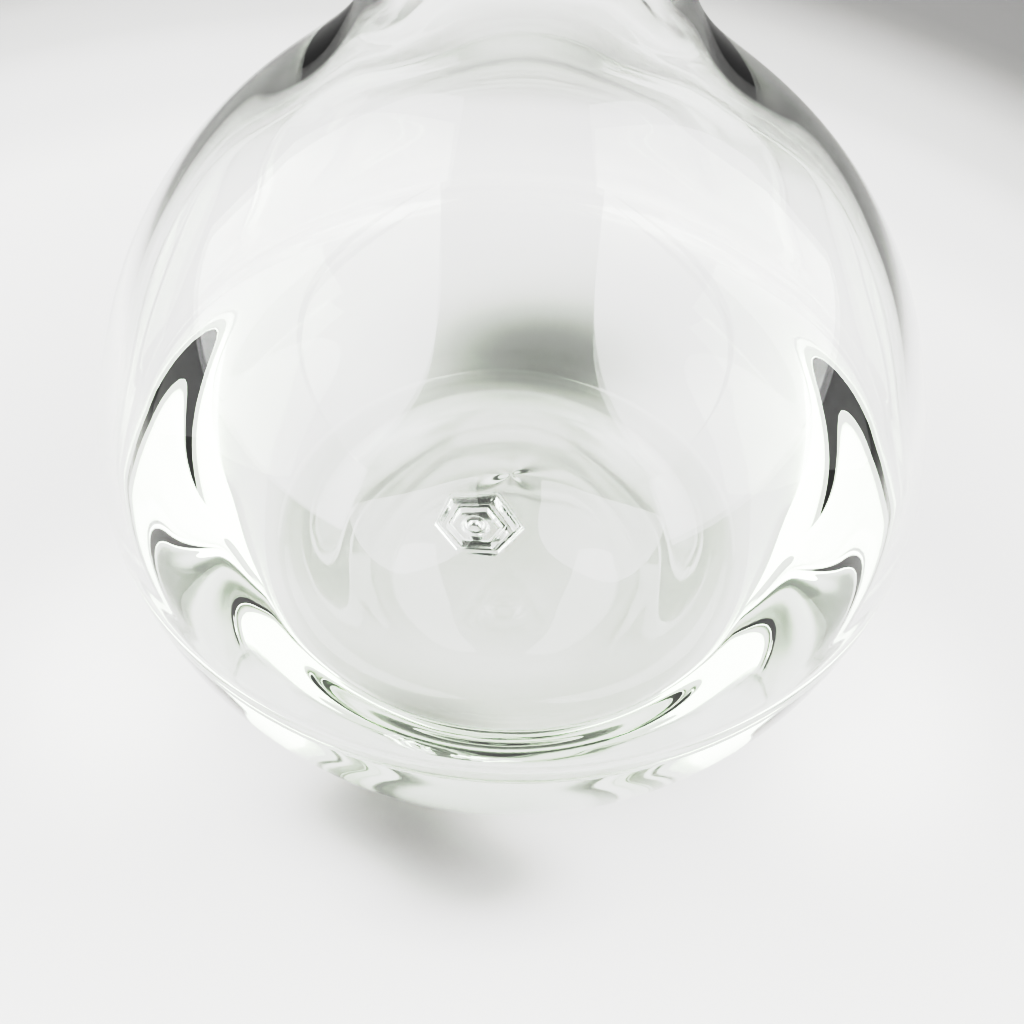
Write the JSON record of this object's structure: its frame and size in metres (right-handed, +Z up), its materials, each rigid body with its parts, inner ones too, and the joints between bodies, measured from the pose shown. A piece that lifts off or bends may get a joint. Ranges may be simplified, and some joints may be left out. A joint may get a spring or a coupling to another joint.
{
  "type": "flat-bottomed flask",
  "caption": "Clear glass flask with a bulbous body, thick pushed-up base, upright neck and a ground-glass stopper that lifts out.",
  "frame": {"origin": "centre of the foot ring, on the surface that the flask stands on", "axes": "+Z up along the flask's axis, from the foot to the stopper; the flat faces of the stopper's grip look along -Y and +Y"},
  "size_m": [0.105, 0.105, 0.1945],
  "materials": {
    "flask_glass": "clear polished glass with a faint green tint in the thick base",
    "stopper_glass": "clear pressed glass with a frosted ground plug"
  },
  "bodies": {
    "flask": {"flask": "flask_glass"},
    "stopper": {"stopper": "stopper_glass"}
  },
  "joints": [
    {"name": "stopper_lift", "type": "slide", "parent": "flask", "child": "stopper", "axis": [0, 0, 1], "range_m": [0, 0.08]}
  ]
}
